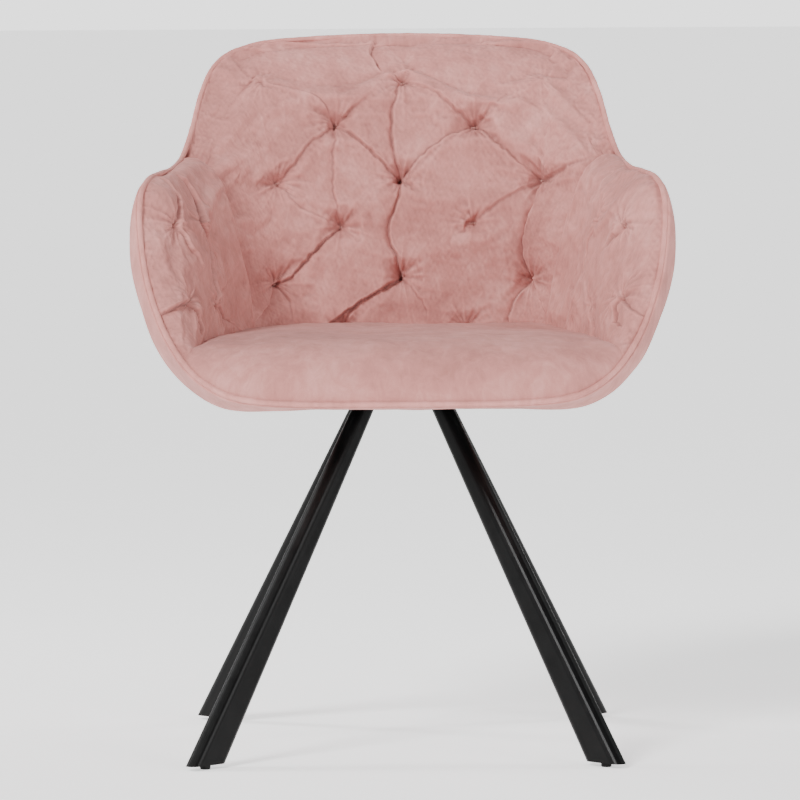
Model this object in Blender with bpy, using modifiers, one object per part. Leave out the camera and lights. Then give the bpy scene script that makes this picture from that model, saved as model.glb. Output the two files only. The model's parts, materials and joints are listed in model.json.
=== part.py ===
"""Upholstered bucket armchair on a swivelling four-leg steel base.

Run with: blender --background --python part.py
Metres, +Z up. The chair faces -Y. The origin is on the floor, on the swivel axis.
"""

import math

import bmesh
import bpy
from mathutils import Matrix, Vector

GAP = 0.0003  # clearance between pieces that rest on each other

# ---------------------------------------------------------------- the bucket
# Half of the bucket's loft, from the middle of the front (station 0) round the right arm to the middle
# of the back (station 18). Each station gives the rim of the outer cover, how far the wall leans outwards
# there (degrees from upright), and the line where the pads meet the seat cushion.
STATIONS = (
    # rim x, y, z            lean   seat line x, y, z
    ((0.000, -0.2880, 0.4110), 88, (0.000, -0.2820, 0.4205)),  # middle of the front edge
    ((0.120, -0.2860, 0.4115), 88, (0.118, -0.2800, 0.4210)),
    ((0.185, -0.2740, 0.4165), 72, (0.181, -0.2665, 0.4270)),  # front corner
    ((0.222, -0.2540, 0.4310), 50, (0.213, -0.2480, 0.4395)),
    ((0.251, -0.2280, 0.4560), 28, (0.233, -0.2190, 0.4490)),  # foot of the arm
    ((0.276, -0.2000, 0.4960), 12, (0.238, -0.1800, 0.4570)),
    ((0.294, -0.1730, 0.5480), -2, (0.234, -0.1350, 0.4620)),
    ((0.3025, -0.1480, 0.6030), -11, (0.228, -0.0950, 0.4660)),
    ((0.303, -0.1240, 0.6430), -19, (0.221, -0.0600, 0.4680)),
    ((0.296, -0.0870, 0.6610), -24, (0.213, -0.0250, 0.4700)),  # front of the arm's top
    ((0.284, -0.0200, 0.6665), -21, (0.204, 0.0100, 0.4720)),
    ((0.273, 0.0560, 0.6690), -13, (0.195, 0.0500, 0.4740)),
    ((0.262, 0.1200, 0.6820), -4, (0.184, 0.0980, 0.4750)),  # arm meets back
    ((0.2515, 0.1620, 0.7130), 3, (0.172, 0.1260, 0.4740)),
    ((0.241, 0.2020, 0.7540), 7, (0.155, 0.1430, 0.4730)),
    ((0.225, 0.2360, 0.7860), 9, (0.128, 0.1500, 0.4720)),  # top corner of the back
    ((0.196, 0.2600, 0.8050), 10, (0.098, 0.1530, 0.4710)),
    ((0.140, 0.2780, 0.8160), 10, (0.062, 0.1545, 0.4700)),
    ((0.000, 0.2900, 0.8215), 10, (0.000, 0.1550, 0.4700)),  # middle of the back
)
HALF = len(STATIONS) - 1
ARM_START, ARM_END = 4, 12  # stations between which an arm pad lies
PAD_SEAM = 0.05  # share of a station that each pad keeps clear of the seam between arm and back

BASE_Z = 0.4070  # underside of the outer cover
BASE_CENTRE_Y = -0.030
BASE_RX, BASE_RY = 0.165, 0.170
BASE_POWER = 2.8
WALL_REACH = 0.65  # how far the wall runs flat before it turns up
WALL_RISE = 0.42  # length of the wall's upright handle at the rim, as a share of its span

COVER_THICKNESS = 0.0025
SHELL_THICKNESS = 0.0045
SHELL_DEPTH = COVER_THICKNESS + 2 * GAP
SOFT_GAP = 0.0014  # clearance between foam and what it rests on or lies under
PAD_DEPTH = SHELL_DEPTH + SHELL_THICKNESS + SOFT_GAP
SKIN = 0.0015  # velvet with its backing
COVER_TURN_UNDER = 0.90  # scale of the base outline at the outer cover's turned-under hem
SHELL_HOLE_R = 0.020
NORMAL_STEP = 0.02  # how far apart, in s and in v or w, two points lie that give a surface's slope

PIPING_R = 0.00275
PIPING_RISE = 0.0078  # from the rim's edge to the piping's centre

COLUMNS = (0, 0.5, 1, 1.5, 2, 2.5, 3, 4, 5, 6, 7, 8, 9, 10, 11, 12, 13, 14, 15, 16, 17, 17.5, 18)
WALL_ROWS = (0.0, 0.16, 0.32, 0.48, 0.64, 0.78, 0.90, 1.0)
PAD_ROWS = (0.0, 0.16, 0.34, 0.54, 0.76, 0.92, 1.0)
FIRST_PAD_ROW = 1  # the pads' foam starts just short of the wall row after this one
FOAM_LOW, FOAM_HIGH = 0.8, 0.7  # how far along its first and last wall strips the foam starts and ends
FOAM_FACE_END = 0.5  # how far along the face's last strip the foam ends, under the skin
PAD_RISE = 0.38
ARM_ROLL, BACK_ROLL = 0.042, 0.056  # how far the pads roll over at the rim
ROLL_LIMIT = 0.45  # the most that they do, as a share of the pad's height there

# ------------------------------------------------------------ the seat's base
BOARD_SCALE = 0.96
BOARD_THICKNESS = 0.012
BOARD_Z = BASE_Z + PAD_DEPTH
SEAT_CROWN_Z = 0.4865
SEAT_CENTRE_Y = -0.060
SEAT_CLEARANCE = 0.0065
FOAM_EDGE_INSET = 0.006
SEAT_RINGS = (0.35, 0.62, 0.82, 0.94, 1.0)
SEAT_CROWN_POWER = 4.0
FOAM_BOTTOM_Z = BOARD_Z + BOARD_THICKNESS + 0.0022
FOAM_BOTTOM_SCALE = 1.04
DUST_COVER_THICKNESS = 0.0010

# -------------------------------------------------------- the swivel mechanism
TOP_PLATE = 0.180
TOP_PLATE_THICKNESS = 0.0025
TOP_PLATE_Z = BASE_Z + SHELL_DEPTH - GAP - TOP_PLATE_THICKNESS
HUB_PLATE = 0.130
HUB_PLATE_THICKNESS = 0.003
RACE_THICKNESS = 0.003
RACE_R, RACE_WIDTH = 0.045, 0.014
BALL_R = 0.0024
BALL_COUNT = 8
BALL_Z = TOP_PLATE_Z - GAP - RACE_THICKNESS - 0.0009
LOWER_RACE_Z = BALL_Z - 0.0009 - RACE_THICKNESS
HUB_PLATE_Z = LOWER_RACE_Z - GAP - HUB_PLATE_THICKNESS
CAGE_THICKNESS = 0.0010
BOLT_SPACING = 0.150
BOLT_R, BOLT_HEAD_R, BOLT_HEAD_H = 0.003, 0.0055, 0.0036
WASHER_R, WASHER_THICKNESS = 0.008, 0.0012
TNUT_R, TNUT_FLANGE_R, TNUT_FLANGE_H = 0.0040, 0.0095, 0.0015
PIVOT_R = 0.005

# ------------------------------------------------------------------- the legs
LEG_FOOT = 0.2264  # each foot's distance from the axis along X and along Y
LEG_TOP = 0.0455
LEG_FOOT_Z = 0.005
LEG_TOP_Z = HUB_PLATE_Z - GAP
LEG_FOOT_WIDTH, LEG_TOP_WIDTH = 0.045, 0.025
LEG_THICKNESS = 0.020
LEG_WALL = 0.0018
LEG_SEGMENTS = 24
PLUG_HEIGHT = 0.020
GLIDE_R, GLIDE_STEM_R, GLIDE_STEM = 0.006, 0.003, 0.014
CORNERS = {
    "front_left": (-1, -1),
    "front_right": (1, -1),
    "rear_left": (-1, 1),
    "rear_right": (1, 1),
}

PINK = (0.52, 0.27, 0.245)
COLOURS = {  # base colour, roughness, metallic
    "velvet": (PINK, 0.75, 0.0),
    "foam": ((0.80, 0.76, 0.62), 0.90, 0.0),
    "shell_plastic": ((0.05, 0.05, 0.05), 0.55, 0.0),
    "board": ((0.55, 0.40, 0.25), 0.70, 0.0),
    "black_steel": ((0.012, 0.012, 0.013), 0.40, 0.6),
    "zinc_steel": ((0.55, 0.55, 0.57), 0.35, 1.0),
    "black_plastic": ((0.015, 0.015, 0.014), 0.50, 0.0),
    "black_felt": ((0.012, 0.012, 0.012), 0.95, 0.0),
}
MATERIALS = {}
PARTS = None
CUTTERS = None


# ------------------------------------------------------------------- helpers
def clear_scene():
    for obj in list(bpy.data.objects):
        bpy.data.objects.remove(obj)


def new_collection(name):
    collection = bpy.data.collections.new(name)
    bpy.context.scene.collection.children.link(collection)
    return collection


def make_materials():
    for name, (colour, roughness, metallic) in COLOURS.items():
        material = bpy.data.materials.new(name)
        material.use_nodes = True
        shader = material.node_tree.nodes["Principled BSDF"]
        shader.inputs["Base Color"].default_value = (*colour, 1.0)
        shader.inputs["Roughness"].default_value = roughness
        shader.inputs["Metallic"].default_value = metallic
        MATERIALS[name] = material


def add_part(name, mesh, material, smooth_angle=35):
    obj = bpy.data.objects.new(name, mesh)
    mesh.materials.append(MATERIALS[material])
    mesh.shade_smooth()
    mesh.set_sharp_from_angle(angle=math.radians(smooth_angle))
    PARTS.objects.link(obj)
    return obj


def mesh_from(name, bm):
    bmesh.ops.recalc_face_normals(bm, faces=bm.faces)
    mesh = bpy.data.meshes.new(name)
    bm.to_mesh(mesh)
    bm.free()
    return mesh


def solidify(obj, thickness):
    """Thickens an open surface. The material is added behind its faces."""
    modifier = obj.modifiers.new("Solidify", "SOLIDIFY")
    modifier.thickness = thickness
    modifier.offset = -1.0
    modifier.use_even_offset = True


def cylinder_mesh(name, radius, low, high, centre=(0, 0), segments=24, upper_radius=None):
    bm = bmesh.new()
    place = Matrix.Translation((centre[0], centre[1], (low + high) / 2))
    bmesh.ops.create_cone(
        bm,
        cap_ends=True,
        segments=segments,
        radius1=radius,
        radius2=radius if upper_radius is None else upper_radius,
        depth=high - low,
        matrix=place,
    )
    return mesh_from(name, bm)


def add_cutter(name, mesh):
    obj = bpy.data.objects.new(name, mesh)
    obj.hide_render = True
    obj.display_type = "WIRE"
    CUTTERS.objects.link(obj)
    return obj


def boolean(obj, other, operation):
    modifier = obj.modifiers.new(operation.title(), "BOOLEAN")
    modifier.operation = operation
    modifier.object = other


def cut_round(obj, radius, low, high, centre=(0, 0), segments=24):
    """Cuts an upright round hole through obj between two heights."""
    name = f"{obj.name}_hole_{len(obj.modifiers)}"
    boolean(obj, add_cutter(name, cylinder_mesh(name, radius, low, high, centre, segments)), "DIFFERENCE")


def join_round(obj, radius, low, high, centre=(0, 0), segments=24):
    """Joins an upright round boss to obj between two heights."""
    name = f"{obj.name}_boss_{len(obj.modifiers)}"
    boolean(obj, add_cutter(name, cylinder_mesh(name, radius, low, high, centre, segments)), "UNION")


def turned_ring(name, profile, material, segments=32):
    """A ring turned about the Z axis. Its closed profile of (radius, z) points runs down its outer side."""
    bm = bmesh.new()
    corners = [bm.verts.new((radius, 0, z)) for radius, z in profile]
    for a, b in zip(corners, corners[1:] + corners[:1]):
        bm.edges.new((a, b))
    mesh = bpy.data.meshes.new(name)
    bm.to_mesh(mesh)
    bm.free()
    obj = add_part(name, mesh, material)
    screw = obj.modifiers.new("Screw", "SCREW")
    screw.steps = screw.render_steps = segments
    screw.use_merge_vertices = True
    screw.merge_threshold = 0.00001
    return obj


def plate(name, size, thickness, low, corner_radius, material):
    """A square plate with round corners, centred on the axis, standing on the height low."""
    bm = bmesh.new()
    place = Matrix.Translation((0, 0, low + thickness / 2)) @ Matrix.Diagonal((size, size, thickness, 1))
    bmesh.ops.create_cube(bm, size=1.0, matrix=place)
    upright = [e for e in bm.edges if abs(e.verts[0].co.z - e.verts[1].co.z) > thickness / 2]
    bmesh.ops.bevel(bm, geom=upright, offset=corner_radius, segments=5, profile=0.5, affect="EDGES")
    return add_part(name, mesh_from(name, bm), material)


# ------------------------------------------------------- the bucket's surfaces
def catmull_rom(a, b, c, d, t):
    return 0.5 * (2 * b + (c - a) * t + (2 * a - 5 * b + 4 * c - d) * t * t + (3 * b - a - 3 * c + d) * t**3)


def station(index):
    """Rim, lean and seat line at a whole station of the closed loop, mirrored on the left half."""
    index %= 2 * HALF
    side = 1
    if index > HALF:
        index, side = 2 * HALF - index, -1
    rim, lean, seat = STATIONS[index]
    return Vector((side * rim[0], rim[1], rim[2])), lean, Vector((side * seat[0], seat[1], seat[2]))


def section(s):
    """Rim, lean in radians and seat line at any place s on the loop, from 0 to 2 * HALF."""
    whole = math.floor(s)
    around = [station(whole + k) for k in (-1, 0, 1, 2)]
    rim, lean, seat = (catmull_rom(*(a[k] for a in around), s - whole) for k in range(3))
    return rim, math.radians(lean), seat


def base_point(s, scale=1.0, z=BASE_Z):
    """The edge of the flat base below the rim at s: a superellipse, met along the same direction."""
    rim = section(s)[0]
    direction = Vector((rim.x / BASE_RX, (rim.y - BASE_CENTRE_Y) / BASE_RY)).normalized()
    reach = (abs(direction.x) ** BASE_POWER + abs(direction.y) ** BASE_POWER) ** (-1 / BASE_POWER)
    x = BASE_RX * reach * direction.x * scale
    y = BASE_RY * reach * direction.y * scale + BASE_CENTRE_Y
    return Vector((x, y, z))


def bezier(p0, p1, p2, p3, t):
    u = 1 - t
    return p0 * u**3 + p1 * (3 * u * u * t) + p2 * (3 * u * t * t) + p3 * t**3


def wall_surface(s, v):
    """A point on the outside of the outer cover, from the base's edge (v 0) to the rim (v 1)."""
    rim, lean, _ = section(s)
    foot = base_point(s)
    level = Vector((rim.x - foot.x, rim.y - foot.y, 0))
    out = level.normalized()
    rise = (rim - foot).length * WALL_RISE
    upright = out * math.sin(lean) + Vector((0, 0, math.cos(lean)))
    return bezier(foot, foot + level * WALL_REACH, rim - upright * rise, rim, v)


def wall_normal(s, v):
    """The wall's outward normal at (s, v)."""
    step = NORMAL_STEP
    across = wall_surface(s + step, v) - wall_surface(s - step, v)
    up = wall_surface(s, min(1.0, v + step)) - wall_surface(s, max(0.0, v - step))
    return across.cross(up).normalized()


def wall(s, v, depth=0.0):
    """A point at a depth inside the outer cover's outer surface."""
    return wall_surface(s, v) - wall_normal(s, v) * depth


def pad_face(s, w, depth=0.0):
    """A point at a depth behind the pads' face, which runs from the seat line (w 0) to the rim (w 1)."""
    step = NORMAL_STEP
    point = pad_profile(s, w)
    if not depth:
        return point
    across = pad_profile(s + step, w) - pad_profile(s - step, w)
    up = pad_profile(s, min(1.0, w + step)) - pad_profile(s, max(0.0, w - step))
    return point + across.cross(up).normalized() * depth


def pad_profile(s, w):
    seat = section(s)[2]
    rim = wall(s, 1.0, PAD_DEPTH)
    place = HALF - abs(s - HALF)
    share = min(1.0, max(0.0, (place - ARM_END + 2) / 4))
    roll = ARM_ROLL + (BACK_ROLL - ARM_ROLL) * share
    height = (rim - seat).length
    roll = min(roll, ROLL_LIMIT * height)
    start = seat + Vector((0, 0, PAD_RISE * height))
    return bezier(seat, start, rim - wall_normal(s, 1.0) * roll, rim, w)


def loop_columns():
    """Places round the whole closed loop."""
    return [*COLUMNS, *(2 * HALF - s for s in reversed(COLUMNS[1:-1]))]


def strip(bm, low, high, closed=False):
    """Joins two lines of vertices with triangles that slant the same way, so that layers stay parallel."""
    pairs = list(zip(low, high))
    following = pairs[1:] + (pairs[:1] if closed else [])
    for (a, b), (c, d) in zip(pairs, following):
        bm.faces.new((a, c, d))
        bm.faces.new((a, d, b))


def grid_surface(bm, rows, closed):
    """Adds a strip between each pair of neighbouring rows of points. Returns the rows' vertices."""
    made = [[bm.verts.new(p) for p in row] for row in rows]
    for low, high in zip(made, made[1:]):
        strip(bm, low, high, closed)
    return made


def open_surface(name, rows, material, closed, facing):
    """An object of one open surface, its faces turned so that they face that way on the whole."""
    bm = bmesh.new()
    grid_surface(bm, rows, closed)
    bm.normal_update()
    mean = sum((face.normal * face.calc_area() for face in bm.faces), Vector())
    if mean.dot(facing) < 0:
        bmesh.ops.reverse_faces(bm, faces=bm.faces)
    mesh = bpy.data.meshes.new(name)
    bm.to_mesh(mesh)
    bm.free()
    return add_part(name, mesh, material)


def thick_patch(name, front, back, material):
    """A closed solid between two grids of points with the same rows and columns."""
    bm = bmesh.new()
    near = grid_surface(bm, front, closed=False)
    far = grid_surface(bm, back, closed=False)
    strip(bm, near[0], far[0])
    strip(bm, near[-1], far[-1])
    for column in (0, -1):
        strip(bm, [row[column] for row in near], [row[column] for row in far])
    return add_part(name, mesh_from(name, bm), material)


# ------------------------------------------------------------ the upholstery
def make_outer_cover():
    columns = loop_columns()
    rows = [[base_point(s, COVER_TURN_UNDER) for s in columns]]
    rows += [[wall(s, v) for s in columns] for v in WALL_ROWS]
    cover = open_surface("outer_cover", rows, "velvet", True, Vector((0, 0, -1)))
    solidify(cover, COVER_THICKNESS)


def make_bucket_shell():
    """The moulded shell: a flat base round a hole over the pivot, and a wall up to the rim."""
    columns = loop_columns()
    z = BASE_Z + SHELL_DEPTH

    def towards_hole(s, share):
        edge = base_point(s, 1.0, z)
        hole = Vector((edge.x, edge.y, 0)).normalized() * SHELL_HOLE_R
        return Vector((hole.x, hole.y, z)).lerp(edge, share)

    rows = [[towards_hole(s, share) for s in columns] for share in (0.0, 0.3, 0.7)]
    rows += [[wall(s, v, SHELL_DEPTH) for s in columns] for v in WALL_ROWS]
    shell = open_surface("bucket_shell", rows, "shell_plastic", True, Vector((0, 0, -1)))
    solidify(shell, SHELL_THICKNESS)
    for x, y in bolt_places():
        cut_round(shell, BOLT_R + 0.0006, z - 0.005, z + 0.012, (x, y), 16)


def make_pad(name, first, last):
    """A foam block against the shell with a velvet skin over its face, between two places on the loop."""
    inner = [s for s in loop_columns() if first < s < last]
    columns = [first, *inner, last]
    wall_rows = WALL_ROWS[FIRST_PAD_ROW:]
    face = [[pad_face(s, w, SKIN + SOFT_GAP) for s in columns] for w in PAD_ROWS]
    face[-1] = [a.lerp(b, FOAM_FACE_END) for a, b in zip(face[-2], face[-1])]
    back = [[wall(s, v, PAD_DEPTH) for s in columns] for v in wall_rows]
    back[0] = [a.lerp(b, FOAM_LOW) for a, b in zip(back[0], back[1])]
    back[-1] = [a.lerp(b, FOAM_HIGH) for a, b in zip(back[-2], back[-1])]
    thick_patch(f"{name}_foam", face, back, "foam")
    rows = [[pad_face(s, w) for s in columns] for w in PAD_ROWS]
    middle = len(columns) // 2
    to_wall = wall(columns[middle], 0.5) - pad_face(columns[middle], 0.5)
    skin = open_surface(f"{name}_cover", rows, "velvet", False, -to_wall)
    solidify(skin, SKIN)


def seat_outline(s, share, clearance=SEAT_CLEARANCE):
    """A point on a ring of the seat cushion's top: share 0 at its middle, 1 at its edge."""
    edge = section(s)[2]
    middle = Vector((0, SEAT_CENTRE_Y, 0))
    level = Vector((edge.x, edge.y, 0)) - middle
    level = level * (1 - clearance / level.length)
    crown = (1 - share**SEAT_CROWN_POWER) ** 0.5
    x, y = (middle + level * share).xy
    return Vector((x, y, edge.z + (SEAT_CROWN_Z - edge.z) * crown))


def make_seat_cushion():
    """The foam block on the seat board and the velvet skin over its crowned top."""
    columns = loop_columns()
    shares = SEAT_RINGS
    top = [[seat_outline(s, share) for s in columns] for share in shares]

    skin_mesh = bmesh.new()
    rings = grid_surface(skin_mesh, top, closed=True)
    crown = skin_mesh.verts.new((0, SEAT_CENTRE_Y, SEAT_CROWN_Z))
    close_ring(skin_mesh, rings[0], crown)
    skin = add_part("seat_cover", mesh_from("seat_cover", skin_mesh), "velvet")
    face_up(skin)
    solidify(skin, SKIN)

    drop = Vector((0, 0, SKIN + 2 * SOFT_GAP))
    inset = SEAT_CLEARANCE + SKIN + SOFT_GAP
    under = [[seat_outline(s, share, inset) - drop for s in columns] for share in shares[:-1]]
    under.append([seat_outline(s, 1.0, inset + FOAM_EDGE_INSET) for s in columns])
    under.append([base_point(s, FOAM_BOTTOM_SCALE, FOAM_BOTTOM_Z) for s in columns])
    foam_mesh = bmesh.new()
    rings = grid_surface(foam_mesh, under, closed=True)
    close_ring(foam_mesh, rings[0], foam_mesh.verts.new((0, SEAT_CENTRE_Y, SEAT_CROWN_Z - drop.z)))
    close_ring(foam_mesh, rings[-1], foam_mesh.verts.new((0, BASE_CENTRE_Y, FOAM_BOTTOM_Z)))
    add_part("seat_foam", mesh_from("seat_foam", foam_mesh), "foam")


def close_ring(bm, ring, middle):
    for a, b in zip(ring, ring[1:] + ring[:1]):
        bm.faces.new((a, b, middle))


def face_up(obj):
    if sum(p.normal.z * p.area for p in obj.data.polygons) < 0:
        obj.data.flip_normals()


def make_rim_piping():
    """The welt cord sewn into the seam along the whole rim: one closed loop."""
    curve = bpy.data.curves.new("rim_piping", "CURVE")
    curve.dimensions = "3D"
    curve.bevel_depth = PIPING_R
    curve.bevel_resolution = 1
    spline = curve.splines.new("POLY")
    places = loop_columns()
    spline.points.add(len(places) - 1)
    depth = SHELL_DEPTH + SHELL_THICKNESS / 4
    for point, s in zip(spline.points, places):
        edge = wall(s, 1.0, depth)
        along = (edge - wall(s, WALL_ROWS[-2], depth)).normalized()
        point.co = (*(edge + along * PIPING_RISE), 1.0)
    spline.use_cyclic_u = True
    curve.materials.append(MATERIALS["velvet"])
    PARTS.objects.link(bpy.data.objects.new("rim_piping", curve))


def superellipse_plate(name, scale, low, thickness, material):
    """A flat plate with the base's outline, scaled, standing on the height low."""
    bm = bmesh.new()
    ring = [bm.verts.new(base_point(s, scale, low)) for s in loop_columns()]
    bottom = bm.faces.new(ring)
    raised = bmesh.ops.extrude_face_region(bm, geom=[bottom])["geom"]
    verts = [g for g in raised if isinstance(g, bmesh.types.BMVert)]
    bmesh.ops.translate(bm, verts=verts, vec=(0, 0, thickness))
    return add_part(name, mesh_from(name, bm), material)


def make_seat_board():
    board = superellipse_plate("seat_board", BOARD_SCALE, BOARD_Z, BOARD_THICKNESS, "board")
    top = BOARD_Z + BOARD_THICKNESS
    cut_round(board, SHELL_HOLE_R, BOARD_Z - 0.01, top + 0.01)
    for place in bolt_places():
        cut_round(board, TNUT_R + GAP, BOARD_Z - 0.01, top + 0.01, place, 16)


def make_dust_cover():
    """The black felt under the base, cut out round the swivel's top plate."""
    low = BASE_Z + SHELL_DEPTH - GAP - DUST_COVER_THICKNESS
    scale = COVER_TURN_UNDER - 0.006
    cover = superellipse_plate("dust_cover", scale, low, DUST_COVER_THICKNESS, "black_felt")
    bm = bmesh.new()
    side = TOP_PLATE + 0.004
    place = Matrix.Translation((0, 0, low)) @ Matrix.Diagonal((side, side, 0.02, 1))
    bmesh.ops.create_cube(bm, size=1.0, matrix=place)
    boolean(cover, add_cutter("dust_cover_cutout", mesh_from("dust_cover_cutout", bm)), "DIFFERENCE")


# --------------------------------------------------------- the swivel mechanism
def bolt_places():
    half = BOLT_SPACING / 2
    return [(x * half, y * half) for x, y in CORNERS.values()]


def make_swivel():
    top_plate = plate("swivel_top_plate", TOP_PLATE, TOP_PLATE_THICKNESS, TOP_PLATE_Z, 0.015, "black_steel")
    cut_round(top_plate, PIVOT_R + GAP, TOP_PLATE_Z - 0.01, TOP_PLATE_Z + 0.01)
    for place in bolt_places():
        cut_round(top_plate, BOLT_R + GAP, TOP_PLATE_Z - 0.01, TOP_PLATE_Z + 0.01, place, 16)
    hub = plate("hub_plate", HUB_PLATE, HUB_PLATE_THICKNESS, HUB_PLATE_Z, 0.012, "black_steel")
    cut_round(hub, PIVOT_R + GAP, HUB_PLATE_Z - 0.01, HUB_PLATE_Z + 0.01)
    make_race("lower_race", LOWER_RACE_Z, 1)
    make_race("upper_race", BALL_Z + 0.0009, -1)
    make_cage_and_balls()
    make_pivot()
    for number, place in enumerate(bolt_places(), 1):
        make_plate_bolt(number, place)


def make_race(name, low, groove_side):
    """A flat ring with a V groove for the balls on its upper side (1) or lower side (-1)."""
    inner, outer = RACE_R - RACE_WIDTH / 2, RACE_R + RACE_WIDTH / 2
    high = low + RACE_THICKNESS
    plain, grooved = (low, high) if groove_side > 0 else (high, low)
    groove_half, groove_deep = 0.0030, 0.0022 * groove_side
    profile = [
        (inner, plain),
        (inner, grooved),
        (RACE_R - groove_half, grooved),
        (RACE_R, grooved - groove_deep),
        (RACE_R + groove_half, grooved),
        (outer, grooved),
        (outer, plain),
    ]
    turned_ring(name, profile if groove_side > 0 else profile[::-1], "zinc_steel")


def make_cage_and_balls():
    """The plastic ring that spaces the balls, with a hole for each, and the balls."""
    low, high = BALL_Z - CAGE_THICKNESS / 2, BALL_Z + CAGE_THICKNESS / 2
    inner, outer = RACE_R - RACE_WIDTH / 2 + 0.0010, RACE_R + RACE_WIDTH / 2 - 0.0010
    profile = [(inner, low), (inner, high), (outer, high), (outer, low)]
    cage = turned_ring("ball_cage", profile, "black_plastic")
    for k in range(BALL_COUNT):
        angle = 2 * math.pi * (k + 0.5) / BALL_COUNT
        x, y = RACE_R * math.cos(angle), RACE_R * math.sin(angle)
        cut_round(cage, BALL_R + GAP, low - 0.002, high + 0.002, (x, y), 10)
        bm = bmesh.new()
        bmesh.ops.create_uvsphere(bm, u_segments=10, v_segments=6, radius=BALL_R)
        ball = add_part(f"ball_{k + 1}", mesh_from("ball", bm), "zinc_steel")
        ball.location = (x, y, BALL_Z)


def make_pivot():
    """The pivot pin, its head under the hub plate, and the washer and lock nut that hold the seat down."""
    head_top = HUB_PLATE_Z - GAP
    plate_top = TOP_PLATE_Z + TOP_PLATE_THICKNESS
    pin = add_part(
        "pivot_pin",
        cylinder_mesh("pivot_pin", 0.009, head_top - 0.0028, head_top, upper_radius=0.011),
        "zinc_steel",
    )
    join_round(pin, PIVOT_R, head_top - 0.001, plate_top + 0.0125)
    washer_low = plate_top + GAP
    washer = add_part(
        "pivot_washer",
        cylinder_mesh("pivot_washer", 0.012, washer_low, washer_low + 0.002),
        "zinc_steel",
    )
    cut_round(washer, PIVOT_R + GAP, washer_low - 0.01, washer_low + 0.01)
    nut_low = washer_low + 0.002 + GAP
    nut = add_part(
        "pivot_nut",
        cylinder_mesh("pivot_nut", 0.0098, nut_low, nut_low + 0.008, segments=6),
        "zinc_steel",
    )
    cut_round(nut, PIVOT_R + GAP, nut_low - 0.01, nut_low + 0.02)


def make_plate_bolt(number, place):
    """One bolt up through washer, top plate and shell into its T-nut in the seat board."""
    washer_top = TOP_PLATE_Z - GAP
    head_top = washer_top - WASHER_THICKNESS - GAP
    board_top = BOARD_Z + BOARD_THICKNESS
    washer = add_part(
        f"bolt_washer_{number}",
        cylinder_mesh("washer", WASHER_R, washer_top - WASHER_THICKNESS, washer_top, place, 20),
        "zinc_steel",
    )
    cut_round(washer, BOLT_R + GAP, washer_top - 0.01, washer_top + 0.01, place, 16)
    bolt = add_part(
        f"plate_bolt_{number}",
        cylinder_mesh("bolt", BOLT_HEAD_R, head_top - BOLT_HEAD_H, head_top, place, 6),
        "zinc_steel",
    )
    join_round(bolt, BOLT_R, head_top - 0.001, board_top, place, 16)
    nut = add_part(
        f"t_nut_{number}",
        cylinder_mesh("t_nut", TNUT_R, board_top - 0.0095, board_top + GAP + 0.001, place, 16),
        "zinc_steel",
    )
    flange_low = board_top + GAP
    join_round(nut, TNUT_FLANGE_R, flange_low, flange_low + TNUT_FLANGE_H, place, 20)
    cut_round(nut, BOLT_R + GAP, board_top - 0.02, board_top + 0.02, place, 16)


# --------------------------------------------------------------------- the legs
def leg_direction(side_x, side_y):
    """Unit vector from the floor to the hub along a leg's middle line."""
    foot = Vector((side_x * LEG_FOOT, side_y * LEG_FOOT, LEG_FOOT_Z))
    top = Vector((side_x * LEG_TOP, side_y * LEG_TOP, LEG_TOP_Z))
    return (top - foot).normalized()


def leg_ring(bm, side_x, side_y, z, inset=0.0):
    """A level cut through a leg at the height z: a flat oval, its long side towards the hub."""
    share = (z - LEG_FOOT_Z) / (LEG_TOP_Z - LEG_FOOT_Z)
    width = LEG_FOOT_WIDTH + (LEG_TOP_WIDTH - LEG_FOOT_WIDTH) * share - 2 * inset
    thickness = LEG_THICKNESS - 2 * inset
    reach = LEG_FOOT + (LEG_TOP - LEG_FOOT) * share
    centre = Vector((side_x * reach, side_y * reach, z))
    outward = Vector((side_x, side_y, 0)).normalized()
    across = Vector((-outward.y, outward.x, 0))
    stretch = 1 / leg_direction(side_x, side_y).z
    made = bmesh.ops.create_circle(bm, segments=LEG_SEGMENTS, radius=thickness / 2)["verts"]
    for vert in made:
        straight = math.copysign((width - thickness) / 2, vert.co.x)
        along, sideways = (vert.co.x + straight) * stretch, vert.co.y
        vert.co = centre + outward * along + across * sideways
    return made


def ring_loft(bm, low, high):
    for i in range(len(low)):
        j = (i + 1) % len(low)
        bm.faces.new((low[i], low[j], high[j], high[i]))


def make_leg(name, side_x, side_y):
    """A tapered oval tube, cut level at the floor and at the hub plate."""
    bm = bmesh.new()
    outer = [leg_ring(bm, side_x, side_y, z) for z in (LEG_FOOT_Z, LEG_TOP_Z)]
    inner = [leg_ring(bm, side_x, side_y, z, LEG_WALL) for z in (LEG_FOOT_Z, LEG_TOP_Z)]
    ring_loft(bm, *outer)
    ring_loft(bm, *inner)
    ring_loft(bm, outer[0], inner[0])
    ring_loft(bm, outer[1], inner[1])
    add_part(f"leg_{name}", mesh_from(name, bm), "black_steel")


def make_leg_plug(name, side_x, side_y):
    """The plastic plug in the leg's foot, with a hole for the glide's stem."""
    inset = LEG_WALL + GAP
    bm = bmesh.new()
    low = leg_ring(bm, side_x, side_y, LEG_FOOT_Z + GAP, inset)
    high = leg_ring(bm, side_x, side_y, LEG_FOOT_Z + PLUG_HEIGHT, inset)
    ring_loft(bm, low, high)
    bm.faces.new(low)
    bm.faces.new(high)
    plug = add_part(f"leg_plug_{name}", mesh_from("plug", bm), "black_plastic")
    place = (side_x * LEG_FOOT, side_y * LEG_FOOT)
    cut_round(plug, GLIDE_STEM_R + GAP, 0.0, LEG_FOOT_Z + GLIDE_STEM + 0.001, place, 16)


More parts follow.
